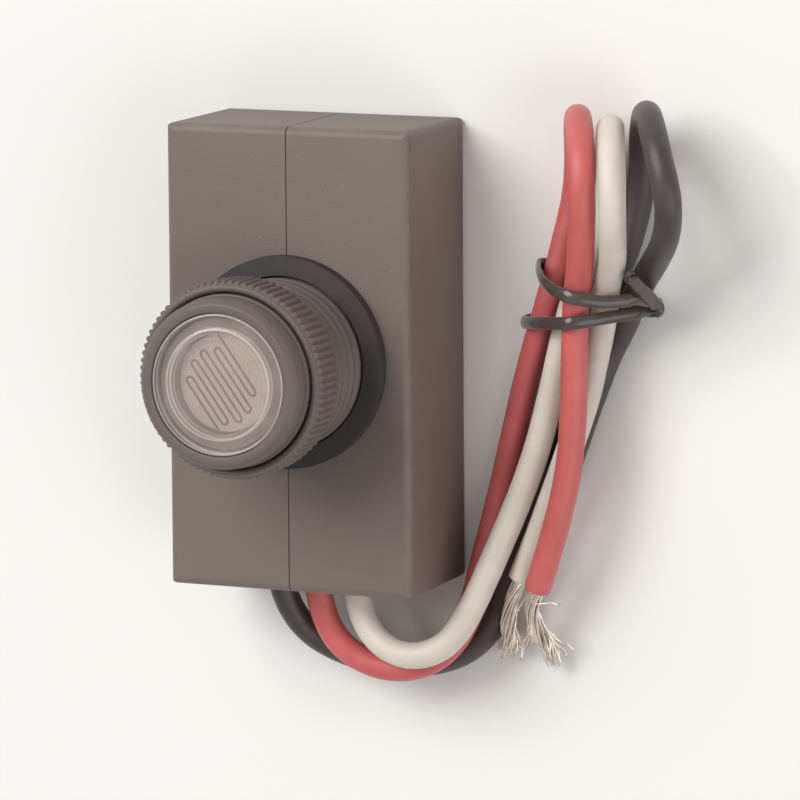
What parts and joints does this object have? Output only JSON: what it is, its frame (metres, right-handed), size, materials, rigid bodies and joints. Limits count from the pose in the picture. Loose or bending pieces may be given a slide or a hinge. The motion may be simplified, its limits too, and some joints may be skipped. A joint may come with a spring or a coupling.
{
  "type": "photocell switch",
  "caption": "Button photocell switch: flat two-shell case with a threaded neck, toothed ring nut, lens over a light cell, thermal contact inside and three tied wire leads.",
  "frame": {"origin": "centre of the case's flat back, on which the switch lies", "axes": "+Z out along the neck, +Y to the top of the case, +X to the side where the folded leads lie"},
  "size_m": [0.066, 0.0734, 0.0389],
  "materials": {
    "housing": "moulded, fine matt grain",
    "neck": "moulded, satin",
    "nut": "moulded, satin",
    "gasket": "matt",
    "lens": "clear moulded plastic",
    "seal": "matt",
    "holder": "matt",
    "cell": "ceramic, matt",
    "cell_film": "thin metal film",
    "tinned_wire": "tinned",
    "base_board": "laminate, satin",
    "brass": "pressed strip",
    "contact": "silver",
    "bimetal": "rolled strip",
    "resistor": "lacquered",
    "lead_red": "satin insulation",
    "lead_white": "satin insulation",
    "lead_black": "satin insulation",
    "strands": "tinned copper strands",
    "tie": "glossy strip"
  },
  "bodies": {
    "case": {"left_shell": "housing", "right_shell": "housing", "threaded_neck": "neck", "neck_gasket": "gasket", "lens": "lens", "lens_seal": "seal", "cell_holder": "holder", "photocell": "cell", "cell_electrodes": "cell_film", "cell_leads": "tinned_wire", "switch_base": "base_board", "line_terminal": "brass", "load_bracket": "brass", "neutral_terminal": "brass", "fixed_contact": "contact", "heater_resistor": "resistor", "heater_leads": "tinned_wire", "rivets": "brass", "red_lead": "lead_red", "white_lead": "lead_white", "black_lead": "lead_black", "red_strands": "strands", "white_strands": "strands", "black_strands": "strands", "wire_tie": "tie"},
    "nut": {"mounting_nut": "nut"},
    "arm": {"bimetal_arm": "bimetal", "moving_contact": "contact"}
  },
  "joints": [
    {"name": "nut_travel", "type": "slide", "parent": "case", "child": "nut", "axis": [0, 0, 1], "range_m": [-0.0095, 0.0107]},
    {"name": "arm_flex", "type": "hinge", "parent": "case", "child": "arm", "pos_m": [0, -0.004, 0.009], "axis": [1, 0, 0], "range_deg": [0, 4], "stiffness_Nm_per_rad": 0.002, "springref_deg": -2.86}
  ]
}
